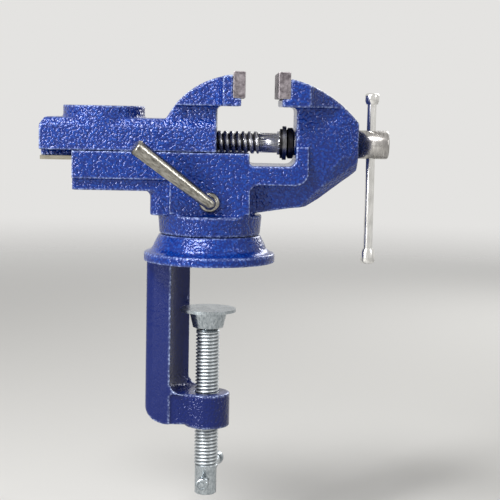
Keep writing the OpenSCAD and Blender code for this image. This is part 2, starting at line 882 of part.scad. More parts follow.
module lead_screw() {
    tip_x = thread_x - lead_thread_l;
    color(steel)
    difference() {
        turn_lead() difference() {
            polygon([[0, tip_x], [lead_d / 2 - tip_cut, tip_x], [lead_d / 2, tip_x + tip_cut],
                [lead_d / 2, thread_x], [lead_neck_d / 2, thread_x], [lead_neck_d / 2, journal_x],
                [journal_d / 2, journal_x], [journal_d / 2, clip_x - seat_gap],
                [clip_groove_d / 2, clip_x - seat_gap], [clip_groove_d / 2, washer_x - seat_gap],
                [journal_d / 2, washer_x - seat_gap], [journal_d / 2, head_x], [head_d / 2, head_x],
                [head_d / 2, head_x + head_l], [0, head_x + head_l]]);
            translate([head_d / 2, head_x + head_l]) rotate(180) round_off(head_round);
        }
        translate([bar_x, 0, screw_z - head_d]) cylinder(h = 2 * head_d, d = bar_d + 2 * run_gap);
    }
}

// Split ring in the groove of the journal, open upwards
module retaining_ring() {
    color(dark_steel)
    difference() {
        turn_lead() translate([clip_groove_d / 2 + seat_gap, clip_x])
            square([(clip_d - clip_groove_d) / 2 - seat_gap, clip_t - 2 * seat_gap]);
        translate([clip_x - over, -clip_mouth / 2, screw_z])
            cube([clip_t + 2 * over, clip_mouth, clip_d]);
    }
}

module thrust_washer() {
    color(zinc)
    turn_lead() translate([journal_d / 2 + run_gap, washer_x])
        square([(washer_d - journal_d) / 2 - run_gap, washer_t]);
}

// One cupped washer of the pair; i = 0 bears on the thrust washer, i = 1 on the wall
module spring_washer(i) {
    inner = journal_d / 2 + run_gap;
    color(dark_steel)
    turn_lead() translate([0, washer_x + washer_t + spring_l]) mirror([0, 1 - i])
        polygon([[inner, spring_cup], [inner, spring_l], [spring_d / 2, spring_t],
            [spring_d / 2, 0]]);
}

module handle_bar() {
    color(zinc)
    translate([bar_x, 0, bar_foot + knob_wall]) cylinder(h = bar_l - 2 * knob_wall, d = bar_d);
}

module handle_knob_top() {
    color(zinc) translate([bar_x, 0, bar_top - knob_top_h]) bar_knob(knob_top_h, bar_d);
}

module handle_knob_bottom() {
    color(zinc) translate([bar_x, 0, bar_foot + knob_bottom_h]) mirror([0, 0, 1])
        bar_knob(knob_bottom_h, bar_d);
}

// Screw with a collar, an elbow and a rod that thickens towards its tip
module lock_lever() {
    tip = post_r - groove_d + slide_gap;
    face = body_w / 2 + slide_gap;
    elbow = face + collar_h + elbow_out;
    cut = (groove_h - lock_d) / 2 + groove_d;
    color(zinc)
    translate([0, 0, lock_z]) {
        rotate([90, 0, 0]) rotate_extrude()
            polygon([[0, tip], [lock_d / 2 - cut, tip], [lock_d / 2, tip + cut], [lock_d / 2, face],
                [collar_d / 2, face], [collar_d / 2, face + collar_h - lever_cut],
                [collar_d / 2 - lever_cut, face + collar_h], [lever_root_d / 2, face + collar_h],
                [lever_root_d / 2, elbow], [0, elbow]]);
        translate([0, -elbow, 0]) {
            sphere(d = lever_root_d);
            rotate([0, lever_angle - 90, 0]) rotate([lever_lean, 0, 0]) rotate_extrude()
                polygon([[0, 0], [lever_root_d / 2, 0], [lever_tip_d / 2, lever_l - lever_cut],
                    [lever_tip_d / 2 - lever_cut, lever_l], [0, lever_l]]);
        }
    }
}

base_frame();
clamp_pad();
clamp_screw();
clamp_bar();
clamp_knob_front();
clamp_knob_back();
vise_body();
fixed_jaw_plate();
fixed_jaw_screw(0);  // fixed_jaw_screw_1
fixed_jaw_screw(1);  // fixed_jaw_screw_2
sliding_jaw();
sliding_jaw_plate();
sliding_jaw_screw(0);  // sliding_jaw_screw_1
sliding_jaw_screw(1);  // sliding_jaw_screw_2
keeper_plate();
keeper_screw(0);  // keeper_screw_1
keeper_screw(1);  // keeper_screw_2
keeper_screw(2);  // keeper_screw_3
keeper_screw(3);  // keeper_screw_4
lead_nut();
lead_screw();
thrust_washer();
spring_washer(0);  // spring_washer_1
spring_washer(1);  // spring_washer_2
retaining_ring();
handle_bar();
handle_knob_top();
handle_knob_bottom();
lock_lever();
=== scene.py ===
# Clamp-on table vise: hammertone castings with rounded edges, cut threads and plated levers,
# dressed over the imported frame. Metres, in the frame's own axes.
import math

import bmesh
import bpy
from mathutils import Matrix, Vector


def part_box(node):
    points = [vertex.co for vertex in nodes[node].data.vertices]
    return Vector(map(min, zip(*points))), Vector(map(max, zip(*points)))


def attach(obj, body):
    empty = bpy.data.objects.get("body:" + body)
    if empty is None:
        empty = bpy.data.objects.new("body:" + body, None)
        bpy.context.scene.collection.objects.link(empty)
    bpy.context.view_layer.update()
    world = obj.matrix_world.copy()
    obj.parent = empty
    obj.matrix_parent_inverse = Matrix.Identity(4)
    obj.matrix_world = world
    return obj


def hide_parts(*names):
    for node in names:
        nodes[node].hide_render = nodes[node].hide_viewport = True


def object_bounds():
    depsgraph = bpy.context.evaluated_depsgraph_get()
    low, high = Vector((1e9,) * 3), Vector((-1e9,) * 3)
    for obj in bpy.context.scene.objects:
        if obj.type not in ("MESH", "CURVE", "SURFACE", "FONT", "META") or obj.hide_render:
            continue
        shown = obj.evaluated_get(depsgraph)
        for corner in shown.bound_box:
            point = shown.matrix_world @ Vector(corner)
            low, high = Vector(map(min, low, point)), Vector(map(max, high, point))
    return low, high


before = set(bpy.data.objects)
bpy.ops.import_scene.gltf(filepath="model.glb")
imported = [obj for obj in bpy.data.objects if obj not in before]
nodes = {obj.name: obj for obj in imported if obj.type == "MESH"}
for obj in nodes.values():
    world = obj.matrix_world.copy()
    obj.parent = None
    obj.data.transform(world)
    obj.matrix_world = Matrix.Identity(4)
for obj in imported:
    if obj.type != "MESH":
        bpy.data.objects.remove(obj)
cadBox = [list(corner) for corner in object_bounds()]
mm = 0.001
print("frame loaded:", len(nodes), "nodes")


def linear(hexColour):
    # sRGB hex colour to linear light
    parts = [int(hexColour[i:i + 2], 16) / 255 for i in (1, 3, 5)]
    return [c / 12.92 if c <= 0.04045 else ((c + 0.055) / 1.055) ** 2.4 for c in parts] + [1]


def add(tree, kind, settings=None, inputs=None, stops=None):
    # A shader node with its settings, its links or values, and the stops of a colour ramp,
    # which lie between 0 and 1 and not on them. A linked node gives its first output, and an
    # input goes by its name or number: a Mix blends two colours at 6 and 7, numbers at 2 and 3.
    node = tree.nodes.new(kind)
    for name, value in (settings or {}).items():
        setattr(node, name, value)
    for name, value in (inputs or {}).items():
        if isinstance(value, bpy.types.Node):
            value = value.outputs[0]
        if isinstance(value, bpy.types.NodeSocket):
            tree.links.new(value, node.inputs[name])
        else:
            node.inputs[name].default_value = value
    for place, colour in (stops or []):
        band = node.color_ramp.elements.new(place)
        band.color = linear(colour) if isinstance(colour, str) else [colour] * 3 + [1]
    if stops:
        # The ramp's own two bands, black at 0 and white at 1, go
        bands = node.color_ramp.elements
        bands.remove(bands[0])
        bands.remove(bands[len(bands) - 1])
    return node


def newMaterial(name, **inputs):
    # A material with its plain values set: its tree, surface shader and object coordinates
    material = bpy.data.materials.new(name)
    material.use_nodes = True
    tree = material.node_tree
    tree.nodes.clear()
    surface = add(tree, "ShaderNodeBsdfPrincipled",
                  inputs={key.replace("_", " "): value for key, value in inputs.items()})
    add(tree, "ShaderNodeOutputMaterial", inputs={"Surface": surface})
    place = add(tree, "ShaderNodeTexCoord").outputs["Object"]
    return material, tree, surface, place


def plug(tree, surface, **inputs):
    # Nodes into the surface shader; underscores stand for spaces
    for name, value in inputs.items():
        socket = value.outputs[0] if isinstance(value, bpy.types.Node) else value
        tree.links.new(socket, surface.inputs[name.replace("_", " ")])


def wear(obj, material):
    # Gives every face of a piece one material
    obj.data.materials.clear()
    obj.data.materials.append(material)
    for face in obj.data.polygons:
        face.material_index = 0


def newPiece(name, bm, body, material):
    # A finished mesh as an object that rides on a body
    mesh = bpy.data.meshes.new(name)
    bm.to_mesh(mesh)
    bm.free()
    obj = bpy.data.objects.new(name, mesh)
    bpy.context.scene.collection.objects.link(obj)
    wear(obj, material)
    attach(obj, body)
    return obj


def cadCopy(node):
    # The node's solid as one closed bmesh
    bm = bmesh.new()
    bm.from_mesh(nodes[node].data)
    bmesh.ops.remove_doubles(bm, verts=bm.verts, dist=0.001 * mm)
    return bm


# Blue paint: the pebbles, the levelling of the coat, and its pale edges, a painted highlight
# with the coat worn thin there
paint = {
    "flake": 0.12,  # how much of the paint acts as metal
    "pebbleMm": 1.3,
    "warpMm": 0.55,
    "domeFall": 2.2,  # how fast a pebble falls away from its crown
    "reliefMm": 0.22,
    "castMm": 5.0,
    "castReliefMm": 0.30,
    "patchMm": 13.0,
    "glossy": 0.13,
    "duller": 0.20,
    "levelFrom": 0.4,  # how far a face looks up, from 0 to 1
    "levelTo": 0.9,
    "levelRelief": 0.25,
    # painted highlight on the edges, with the coat worn thin there
    "edge": "#b4c4ec",
    "edgeShare": 0.9,
    "edgeFrom": 0.508,  # pointiness, 0.5 on a flat face
    "edgeTo": 0.560,
    "dashFrom": 0.38,
    "dashTo": 0.82,
    "dashLeast": 0.2,
}
beamBlue = {
    "hollow": "#07287a", "skin": "#0a378f", "crest": "#1948a4", "relief": 1.45, "shine": 0.56,
}
bodyBlue = {
    "hollow": "#072675", "skin": "#093488", "crest": "#124099", "relief": 1.1, "shine": 0.46,
}
baseBlue = {
    "hollow": "#072777", "skin": "#0a368c", "crest": "#1446a0", "relief": 0.9, "shine": 0.40,
}
# Leg: under the flange the blue is deeper, as painted shade, and the paint flowed
# out smooth, but for the boss
shadedLeg = {
    # painted shade: the deeper blue below the flange
    "blue": "#02195e",
    "relief": 0.15,
    "flareRelief": 0.55,
    "topMm": -1.0,
    "fadeMm": 1.5,
    "bossFromMm": -56.0,
    "bossToMm": -64.0,
    "inFromMm": -20.0,
    "inToMm": -14.0,
}
# Anvil: the beam's far end, ground flat to the bare iron
anvil = {
    "dark": "#8b8a8f",
    "light": "#b3b2b6",
    "rough": 0.36,
    "grindMm": 0.7,
    "grindReliefMm": 0.03,
    "grindStretch": 25.0,
    "aboveMm": 75.6,
    "untilMm": -24.0,
    "lookUp": 0.9,  # how far its face looks up, from 0 to 1
}


def hammertonePaint(name, blue, hasLeg=False, hasAnvil=False):
    # Hammertone stoving enamel, blue with aluminium flake, on a sand casting. The eye gets
    # glossy pebbles, each with its own white spark, deeper blue between them, and a pale
    # dotted line on each edge, painted highlight along with the coat drawn back there.
    material, tree, surface, place = newMaterial(
        name, Metallic=paint["flake"], IOR=1.5, Specular_IOR_Level=blue["shine"])
    split = add(tree, "ShaderNodeSeparateXYZ", inputs={"Vector": place})
    geometry = add(tree, "ShaderNodeNewGeometry")
    facing = add(tree, "ShaderNodeSeparateXYZ", inputs={"Vector": geometry.outputs["Normal"]})

    # Pebbles, pushed out of round by a noise
    warp = add(tree, "ShaderNodeTexNoise", inputs={
        "Vector": place, "Scale": 1000 / (1.5 * paint["pebbleMm"]), "Detail": 1.0})
    centred = add(tree, "ShaderNodeVectorMath", {"operation": "SUBTRACT"}, {
        0: warp.outputs["Color"], 1: (0.5, 0.5, 0.5)})
    shifted = add(tree, "ShaderNodeVectorMath", {"operation": "MULTIPLY_ADD"}, {
        0: centred, 1: [2 * paint["warpMm"] * mm] * 3, 2: place})
    pebbles = add(tree, "ShaderNodeTexVoronoi", {"feature": "SMOOTH_F1"}, {
        "Vector": shifted, "Scale": 1000 / paint["pebbleMm"], "Smoothness": 0.5})
    dome = add(tree, "ShaderNodeMath", {"operation": "MULTIPLY"}, {0: pebbles, 1: pebbles})
    height = add(tree, "ShaderNodeMath", {"operation": "MULTIPLY_ADD"}, {
        0: dome, 1: -paint["domeFall"], 2: 1.0})
    shade = add(tree, "ShaderNodeValToRGB", inputs={"Fac": height}, stops=[
        (0.35, blue["hollow"]), (0.68, blue["skin"]), (0.96, blue["crest"])])
    patches = add(tree, "ShaderNodeTexNoise", inputs={
        "Vector": place, "Scale": 1000 / paint["patchMm"], "Detail": 2.0})
    gloss = add(tree, "ShaderNodeMapRange", inputs={
        "Value": patches, "From Min": 0.3, "From Max": 0.7, "To Min": paint["glossy"],
        "To Max": paint["duller"]})
    cast = add(tree, "ShaderNodeTexNoise", inputs={
        "Vector": place, "Scale": 1000 / paint["castMm"], "Detail": 2.0})
    skin = add(tree, "ShaderNodeBump", inputs={
        "Height": cast, "Distance": paint["castReliefMm"] * blue["relief"] * mm})

    # The coat levelled itself on the faces that look up
    relief = add(tree, "ShaderNodeMapRange", inputs={
        "Value": facing.outputs["Z"], "From Min": paint["levelFrom"],
        "From Max": paint["levelTo"], "To Min": 1.0, "To Max": paint["levelRelief"]})
    if hasLeg:
        above = add(tree, "ShaderNodeMapRange", inputs={
            "Value": split.outputs["Z"], "From Min": (shadedLeg["topMm"] - shadedLeg["fadeMm"]) * mm,
            "From Max": (shadedLeg["topMm"] + shadedLeg["fadeMm"]) * mm})
        low = add(tree, "ShaderNodeMapRange", inputs={
            "Value": split.outputs["Z"], "From Min": shadedLeg["bossFromMm"] * mm,
            "From Max": shadedLeg["bossToMm"] * mm})
        inward = add(tree, "ShaderNodeMapRange", inputs={
            "Value": split.outputs["X"], "From Min": shadedLeg["inFromMm"] * mm,
            "From Max": shadedLeg["inToMm"] * mm})
        boss = add(tree, "ShaderNodeMath", {"operation": "MULTIPLY"}, {0: low, 1: inward})
        calm = add(tree, "ShaderNodeMapRange", inputs={
            "Value": above, "To Min": shadedLeg["relief"], "To Max": shadedLeg["flareRelief"]})
        pebbled = add(tree, "ShaderNodeMath", {"operation": "MAXIMUM"}, {0: calm, 1: boss})
        relief = add(tree, "ShaderNodeMath", {"operation": "MULTIPLY"}, {
            0: pebbled, 1: relief})
        # Painted shade: below the flange the blue turns deeper
        shade = add(tree, "ShaderNodeMix", {"data_type": "RGBA"}, {
            0: above, 6: linear(shadedLeg["blue"]), 7: shade}).outputs[2]

    # The pale line on an edge, painted highlight and worn coat, shows where a pebble stands on
    # it
    edgeWearAndHighlight = add(tree, "ShaderNodeMapRange", inputs={
        "Value": geometry.outputs["Pointiness"], "From Min": paint["edgeFrom"],
        "From Max": paint["edgeTo"], "To Max": paint["edgeShare"]})
    crests = add(tree, "ShaderNodeMapRange", inputs={
        "Value": height, "From Min": paint["dashFrom"], "From Max": paint["dashTo"],
        "To Min": paint["dashLeast"]})
    dashed = add(tree, "ShaderNodeMath", {"operation": "MULTIPLY"}, {0: edgeWearAndHighlight, 1: crests})
    edged = add(tree, "ShaderNodeMix", {"data_type": "RGBA"}, {
        0: dashed, 6: shade, 7: linear(paint["edge"])}).outputs[2]
    bump = add(tree, "ShaderNodeBump", inputs={
        "Height": height, "Distance": paint["reliefMm"] * blue["relief"] * mm, "Normal": skin,
        "Strength": relief})
    if not hasAnvil:
        plug(tree, surface, Base_Color=edged, Roughness=gloss, Normal=bump)
        return material

    # Bare ground iron where the far end looks up above the anvil's height
    limits = [(split.outputs["Z"], "GREATER_THAN", anvil["aboveMm"] * mm),
              (split.outputs["X"], "LESS_THAN", anvil["untilMm"] * mm),
              (facing.outputs["Z"], "GREATER_THAN", anvil["lookUp"])]
    tests = [add(tree, "ShaderNodeMath", {"operation": how}, {0: value, 1: limit})
             for value, how, limit in limits]
    there = add(tree, "ShaderNodeMath", {"operation": "MULTIPLY"}, {0: tests[0], 1: tests[1]})
    bare = add(tree, "ShaderNodeMath", {"operation": "MULTIPLY"}, {0: there, 1: tests[2]})
    along = add(tree, "ShaderNodeMapping", inputs={
        "Vector": place, "Scale": (1, 1 / anvil["grindStretch"], 1)})
    lines = add(tree, "ShaderNodeTexNoise", inputs={
        "Vector": along, "Scale": 1000 / anvil["grindMm"], "Detail": 4.0})
    iron = add(tree, "ShaderNodeValToRGB", inputs={"Fac": lines}, stops=[
        (0.35, anvil["dark"]), (0.65, anvil["light"])])
    tone = add(tree, "ShaderNodeMix", {"data_type": "RGBA"}, {0: bare, 6: edged, 7: iron})
    rough = add(tree, "ShaderNodeMix", {"data_type": "FLOAT"}, {
        0: bare, 2: gloss, 3: anvil["rough"]})
    metal = add(tree, "ShaderNodeMapRange", inputs={"Value": bare, "To Min": paint["flake"]})
    painted = add(tree, "ShaderNodeMath", {"operation": "SUBTRACT"}, {0: 1.0, 1: bare})
    # and no pebbles or cast skin there
    pebbly = add(tree, "ShaderNodeMath", {"operation": "MULTIPLY"}, {0: painted, 1: relief})
    tree.links.new(pebbly.outputs[0], bump.inputs["Strength"])
    tree.links.new(painted.outputs[0], skin.inputs["Strength"])
    ground = add(tree, "ShaderNodeBump", inputs={
        "Height": lines, "Distance": anvil["grindReliefMm"] * mm, "Strength": bare,
        "Normal": bump})
    plug(tree, surface, Base_Color=tone.outputs[2], Roughness=rough, Metallic=metal,
         Normal=ground)
    return material


# What the plated and turned steels share
steel = {
    "dentMm": 5.0,
    "dentShare": 0.5,
    "rougher": 1.3,
    "smoother": 0.8,
}


def drawnMetal(name, light, dark, rough, grainMm, stretch, turn=0.0, reliefMm=0.02,
               dentReliefMm=0.0, metallic=1.0):
    # Plated or polished steel. The eye gets fine streaks along the way it was drawn, turned
    # or tumbled, and soft dents that make its highlights waver. stretch draws the grain out
    # along each axis and turn leans it about Y, in degrees.
    material, tree, surface, place = newMaterial(name, Metallic=metallic)
    along = add(tree, "ShaderNodeMapping", {"vector_type": "TEXTURE"}, {
        "Vector": place, "Rotation": (0, math.radians(turn), 0), "Scale": stretch})
    streaks = add(tree, "ShaderNodeTexNoise", inputs={
        "Vector": along, "Scale": 1000 / grainMm, "Detail": 4.0, "Roughness": 0.6})
    dents = add(tree, "ShaderNodeTexNoise", inputs={
        "Vector": place, "Scale": 1000 / steel["dentMm"], "Detail": 2.0})
    blend = add(tree, "ShaderNodeMath", {"operation": "MULTIPLY_ADD"}, {
        0: dents, 1: steel["dentShare"], 2: streaks})
    tone = add(tree, "ShaderNodeValToRGB", inputs={"Fac": blend}, stops=[
        (0.55, dark), (0.90, light)])
    gloss = add(tree, "ShaderNodeMapRange", inputs={
        "Value": streaks, "From Min": 0.3, "From Max": 0.7, "To Min": rough * steel["rougher"],
        "To Max": rough * steel["smoother"]})
    fine = add(tree, "ShaderNodeBump", inputs={"Height": streaks, "Distance": reliefMm * mm})
    coarse = add(tree, "ShaderNodeBump", inputs={
        "Height": dents, "Distance": dentReliefMm * mm, "Normal": fine})
    plug(tree, surface, Base_Color=tone, Roughness=gloss, Normal=coarse)
    return material


# Oil and dirt on the threads
grease = {
    "smearMm": 1.8,
    "smearShare": 0.5,
    "reliefMm": 0.03,
    "smoother": 0.7,
    "rougher": 1.3,
}


def threadMetal(name, axis, centreMm, thread, tones, rough, metallic):
    # A cut thread. The eye gets bright crests and dark roots, told apart by the distance
    # from the screw's axis, under random smears.
    material, tree, surface, place = newMaterial(name, Metallic=metallic)
    offset = add(tree, "ShaderNodeVectorMath", {"operation": "SUBTRACT"}, {
        0: place, 1: [c * mm for c in centreMm]})
    across = add(tree, "ShaderNodeVectorMath", {"operation": "MULTIPLY"}, {
        0: offset, 1: [0 if i == axis else 1 for i in range(3)]})
    radius = add(tree, "ShaderNodeVectorMath", {"operation": "LENGTH"}, {0: across})
    crest = thread["outerMm"] / 2
    depth = add(tree, "ShaderNodeMapRange", inputs={
        "Value": radius.outputs["Value"], "From Min": (crest - thread["depthMm"]) * mm,
        "From Max": crest * mm})
    smears = add(tree, "ShaderNodeTexNoise", inputs={
        "Vector": place, "Scale": 1000 / grease["smearMm"], "Detail": 3.0})
    smeared = add(tree, "ShaderNodeMath", {"operation": "MULTIPLY_ADD"}, {
        0: smears, 1: grease["smearShare"], 2: depth})
    tone = add(tree, "ShaderNodeValToRGB", inputs={"Fac": smeared}, stops=[
        (0.22, tones[0]), (0.70, tones[1]), (0.99, tones[2])])
    gloss = add(tree, "ShaderNodeMapRange", inputs={
        "Value": smears, "From Min": 0.3, "From Max": 0.7, "To Min": rough * grease["smoother"],
        "To Max": rough * grease["rougher"]})
    bump = add(tree, "ShaderNodeBump", inputs={
        "Height": smears, "Distance": grease["reliefMm"] * mm})
    plug(tree, surface, Base_Color=tone, Roughness=gloss, Normal=bump)
    return material


# Jaw plates: cross-cut teeth on the gripping face
jawPlate = {
    "metal": 0.85,
    "toothMm": 1.6,
    "toothSteepness": 0.5,
    "squareOn": 0.8,  # how squarely a toothed face looks at the other jaw, from 0 to 1
    "light": "#9b9498",
    "dark": "#645d62",
    "edge": "#cfc9cb",
    "edgeFrom": 0.52,  # pointiness
    "edgeTo": 0.60,
    "quenchMm": 2.2,
    "quenchReliefMm": 0.12,
    "smoother": 0.36,
    "rougher": 0.52,
}


def milledSteel(name, faceSide):
    # Milled and hardened steel, unplated. The eye gets a dull lilac grey, mottled by the
    # quench, with burred bright edges and a diamond of teeth on the gripping face only.
    material, tree, surface, place = newMaterial(name, Metallic=jawPlate["metal"])
    split = add(tree, "ShaderNodeSeparateXYZ", inputs={"Vector": place})
    geometry = add(tree, "ShaderNodeNewGeometry")
    facing = add(tree, "ShaderNodeSeparateXYZ", inputs={"Vector": geometry.outputs["Normal"]})
    toFace = add(tree, "ShaderNodeMath", {"operation": "MULTIPLY"}, {
        0: facing.outputs["X"], 1: faceSide})
    onFace = add(tree, "ShaderNodeMath", {"operation": "GREATER_THAN"}, {
        0: toFace, 1: jawPlate["squareOn"]})
    teeth = []
    for sign in (1, -1):
        slant = add(tree, "ShaderNodeMath", {"operation": "MULTIPLY_ADD"}, {
            0: split.outputs["Y"], 1: sign, 2: split.outputs["Z"]})
        teeth.append(add(tree, "ShaderNodeMath", {"operation": "PINGPONG"}, {
            0: slant, 1: jawPlate["toothMm"] / math.sqrt(2) * mm}))
    knurl = add(tree, "ShaderNodeMath", {"operation": "MINIMUM"}, {0: teeth[0], 1: teeth[1]})
    cut = add(tree, "ShaderNodeMath", {"operation": "MULTIPLY"}, {0: knurl, 1: onFace})
    quench = add(tree, "ShaderNodeTexNoise", inputs={
        "Vector": place, "Scale": 1000 / jawPlate["quenchMm"], "Detail": 4.0, "Roughness": 0.7,
        "Distortion": 0.6})
    tone = add(tree, "ShaderNodeValToRGB", inputs={"Fac": quench}, stops=[
        (0.36, jawPlate["dark"]), (0.64, jawPlate["light"])])
    edgeWearAndHighlight = add(tree, "ShaderNodeMapRange", inputs={
        "Value": geometry.outputs["Pointiness"], "From Min": jawPlate["edgeFrom"],
        "From Max": jawPlate["edgeTo"]})
    bright = add(tree, "ShaderNodeMix", {"data_type": "RGBA"}, {
        0: edgeWearAndHighlight, 6: tone, 7: linear(jawPlate["edge"])})
    gloss = add(tree, "ShaderNodeMapRange", inputs={
        "Value": quench, "From Min": 0.3, "From Max": 0.7, "To Min": jawPlate["smoother"],
        "To Max": jawPlate["rougher"]})
    fine = add(tree, "ShaderNodeBump", inputs={
        "Height": quench, "Distance": jawPlate["quenchReliefMm"] * mm})
    toothed = add(tree, "ShaderNodeBump", inputs={
        "Height": cut, "Distance": jawPlate["toothSteepness"], "Normal": fine})
    plug(tree, surface, Base_Color=bright.outputs[2], Roughness=gloss, Normal=toothed)
    return material


# Lead screw: a coarse thread along X with a flat crest
leadThread = {
    "axisHeightMm": 59.0,
    "fromMm": -52.0,
    "toMm": 23.5,
    "headFromMm": 48.0,
    "tipMm": 4.4,  # radius at the very tip, from which the chamfer opens at 45 degrees
    "overlapMm": 0.3,  # how far the neck reaches into the thread
    "neckInThread": 0.7,  # how much it narrows there
    "outerMm": 11.0,
    "pitchMm": 3.0,
    "depthMm": 1.15,
    "crestShare": 0.42,
    "rootShare": 0.24,
    "steps": 48,
}
# Clamping screw: a fine thread along Z
clampThread = {
    "fromMm": -103.96,
    "toMm": -34.56,
    "ballNeckOverlapMm": 1.05,
    "endOverlapMm": 0.01,
    "outerMm": 12.0,
    "pitchMm": 1.75,
    "depthMm": 0.82,
    "crestShare": 0.16,
    "rootShare": 0.24,
    "steps": 40,
}

bodyPaint = hammertonePaint("hammertoneBody", bodyBlue)
beamPaint = hammertonePaint("hammertoneBeam", beamBlue, hasAnvil=True)
basePaint = hammertonePaint("hammertoneBase", baseBlue, hasLeg=True)
# Bright nickel on drawn bar: near-white, with faint lines along it
nickel = drawnMetal("nickelPlatedBar", "#ecebe8", "#cbcac7", 0.20, 0.6, (1, 1, 9))
# Tumbled nickel on a forging: warm grey, dark in patches, streaked along the rod
castNickel = drawnMetal("nickelPlatedForging", "#aeaba3", "#625f58", 0.22, 0.9, (9, 1, 1),
                        turn=38.5, reliefMm=0.04, dentReliefMm=0.15)
# Turned steel: rings round the axis that fan the highlight out
headSteel = drawnMetal("turnedSteelHead", "#bdbab6", "#858280", 0.26, 0.5, (1, 14, 14))
# Ground steel: smoother and paler, where the neck runs through the open jaws
neckSteel = drawnMetal("groundSteelNeck", "#dedee0", "#b9b9bc", 0.22, 0.6, (1, 14, 14),
                       reliefMm=0.006, metallic=0.8)
# Bright zinc: bluish silver, a little cloudy
zinc = drawnMetal("brightZincPlate", "#bcc3c7", "#868e93", 0.28, 0.9, (1, 1, 2),
                  dentReliefMm=0.05)
# Black oxide: dark grey with an oily sheen
blackSpring = drawnMetal("blackOxideSpringSteel", "#3f3d3f", "#1f1e20", 0.32, 1.2, (1, 3, 3))
blackScrew = drawnMetal("blackOxideSocketScrew", "#4c4a4d", "#29282a", 0.38, 0.9, (1, 1, 1))
# Turned washer: plain grey steel
greyWasher = drawnMetal("turnedSteelWasher", "#8d8d90", "#5c5c5f", 0.30, 0.5, (1, 4, 4))
# Cold-rolled strip: straw grey with rolling lines along it
keeperSteel = drawnMetal("coldRolledSteelStrip", "#b9b4a4", "#878172", 0.32, 0.9, (8, 1, 1))
# Cast bronze: dull brown-gold
bronze = drawnMetal("castBronzeNut", "#b08a4d", "#7d5d2c", 0.36, 1.0, (1, 1, 1), reliefMm=0.05)
# Cut steel, oiled: grey crests on nearly black roots
leadSteel = threadMetal("oiledScrewSteel", 0, (0, 0, leadThread["axisHeightMm"]), leadThread,
                        ("#3c3b3d", "#828183", "#bdbdbf"), 0.26, 0.75)
# Zinc over a cut thread: pale crests, darker roots
clampSteel = threadMetal("zincPlatedThread", 2, (0, 0, 0), clampThread,
                         ("#6c7276", "#979da1", "#bfc4c7"), 0.42, 1.0)
fixedPlateSteel = milledSteel("milledJawSteelFixed", -1)
slidingPlateSteel = milledSteel("milledJawSteelSliding", 1)
print("materials made")


def roundedCopy(node, body, slot, material, voxelMm, passes):
    # A copy of the solid with its corners rounded, as the mould, the hammer or the wheel
    # leaves them. voxelMm sets how fine it is, and each pass takes off a little more.
    obj = newPiece(node + "_rounded", cadCopy(node), body, material)
    grid = obj.modifiers.new("grid", "REMESH")
    grid.mode = "VOXEL"
    grid.voxel_size = voxelMm * mm
    grid.use_smooth_shade = True
    ease = obj.modifiers.new("ease", "SMOOTH")
    ease.factor = 0.5
    ease.iterations = passes
    baked = bpy.data.meshes.new_from_object(
        obj.evaluated_get(bpy.context.evaluated_depsgraph_get()))
    obj.modifiers.clear()
    obj.data = baked
    wear(obj, material)
    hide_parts(node)
    print(node, "rounded:", len(baked.polygons), "faces")
    return baked


roundedPieces = [
    # node, body, slot, material, voxel in mm, passes
    ("base_frame", "base", "blue_hammertone", basePaint, 0.62, 3),
    ("vise_body", "vise_body", "blue_hammertone", bodyPaint, 0.62, 3),
    ("sliding_jaw", "sliding_jaw", "blue_hammertone", beamPaint, 0.62, 3),
    ("lock_lever", "lock_lever", "nickel_plate", castNickel, 0.32, 6),
    ("fixed_jaw_plate", "vise_body", "jaw_steel", fixedPlateSteel, 0.34, 2),
    ("sliding_jaw_plate", "sliding_jaw", "jaw_steel", slidingPlateSteel, 0.34, 2),
]
rounded = {row[0]: roundedCopy(*row) for row in roundedPieces}

# The file's stroke along the body's two way edges, so that the beam's fillets clear them
wayEdge = {
    "acrossMm": 12.6,
    "heightMm": 54.0,
    "reachMm": 1.0,
    "filedMm": 0.35,
}
for vert in rounded["vise_body"].vertices:
    across = abs(vert.co.y) - wayEdge["acrossMm"] * mm
    down = wayEdge["heightMm"] * mm - vert.co.z
    share = 1 - math.hypot(across, down) / (wayEdge["reachMm"] * mm)
    if share > 0:
        step = wayEdge["filedMm"] * mm * share
        vert.co += Vector((0, math.copysign(step, vert.co.y), -step))


def cutThread(thread):
    # A right-hand thread about +Z from 0 to its length: one pitch of its profile spun along
    length = (thread["toMm"] - thread["fromMm"]) * mm
    pitch = thread["pitchMm"] * mm
    crest = thread["outerMm"] / 2 * mm
    root = crest - thread["depthMm"] * mm
    flank = (1 - thread["crestShare"] - thread["rootShare"]) / 2
    profile = [(root, 0), (root, thread["rootShare"]), (crest, thread["rootShare"] + flank),
               (crest, thread["rootShare"] + flank + thread["crestShare"]), (root, 1)]
    # Three turns more than it needs are spun, and both ends cut off square
    turns = int(length / pitch) + 3
    bm = bmesh.new()
    line = [bm.verts.new((r, 0, (share - 1.5) * pitch)) for r, share in profile]
    edges = [bm.edges.new(pair) for pair in zip(line, line[1:])]
    steps = thread["steps"] * turns
    bmesh.ops.spin(bm, geom=line + edges, cent=(0, 0, 0), axis=(0, 0, 1),
                   dvec=(0, 0, pitch * turns / steps), angle=math.tau * turns, steps=steps,
                   use_merge=False, use_normal_flip=False, use_duplicate=False)
    bmesh.ops.remove_doubles(bm, verts=bm.verts, dist=0.01 * mm)
    for height, side in ((0, -1), (length, 1)):
        bmesh.ops.bisect_plane(bm, geom=bm.verts[:] + bm.edges[:] + bm.faces[:],
                               plane_co=(0, 0, height), plane_no=(0, 0, side),
                               clear_outer=True, dist=0.0005 * mm)
        rim = [e for e in bm.edges if e.is_boundary and
               all(abs(v.co.z - height) < 0.01 * mm for v in e.verts)]
        bmesh.ops.edgeloop_fill(bm, edges=rim)
    bmesh.ops.recalc_face_normals(bm, faces=bm.faces)
    return bm


